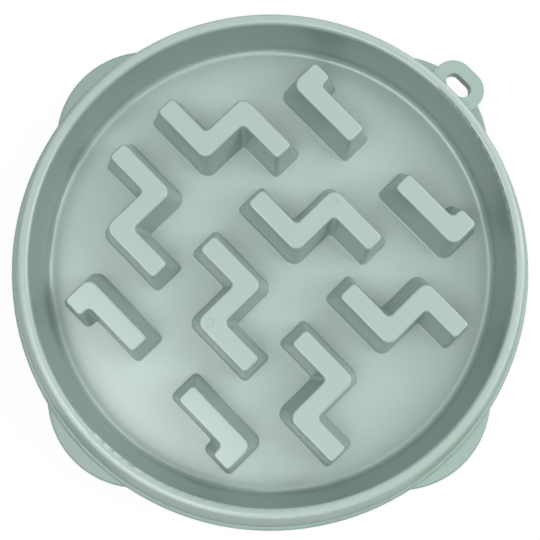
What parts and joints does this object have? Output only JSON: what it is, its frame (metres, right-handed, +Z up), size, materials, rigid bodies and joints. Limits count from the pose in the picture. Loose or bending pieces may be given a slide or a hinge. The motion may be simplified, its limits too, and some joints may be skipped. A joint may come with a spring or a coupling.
{
  "type": "slow feeder bowl",
  "caption": "Round shallow pet bowl whose floor carries upright zig-zag and hooked ridges that slow eating, with a sloping skirt, lobed foot flange, soft pads and a hanging loop.",
  "frame": {"origin": "on the bowl's axis, in the plane of the pads' undersides that it stands on", "axes": "+Z up along the bowl's axis, +Y towards the hanging loop, +X along the rows of zig-zag ridges"},
  "size_m": [0.258, 0.2566, 0.0331],
  "materials": {
    "polypropylene": "satin injection-moulded polypropylene, pale sage green",
    "soft_rubber": "matt thermoplastic rubber, grey"
  },
  "bodies": {
    "root": {"bowl": "polypropylene", "foot_pad_1": "soft_rubber", "foot_pad_2": "soft_rubber", "foot_pad_3": "soft_rubber", "foot_pad_4": "soft_rubber"}
  },
  "joints": []
}
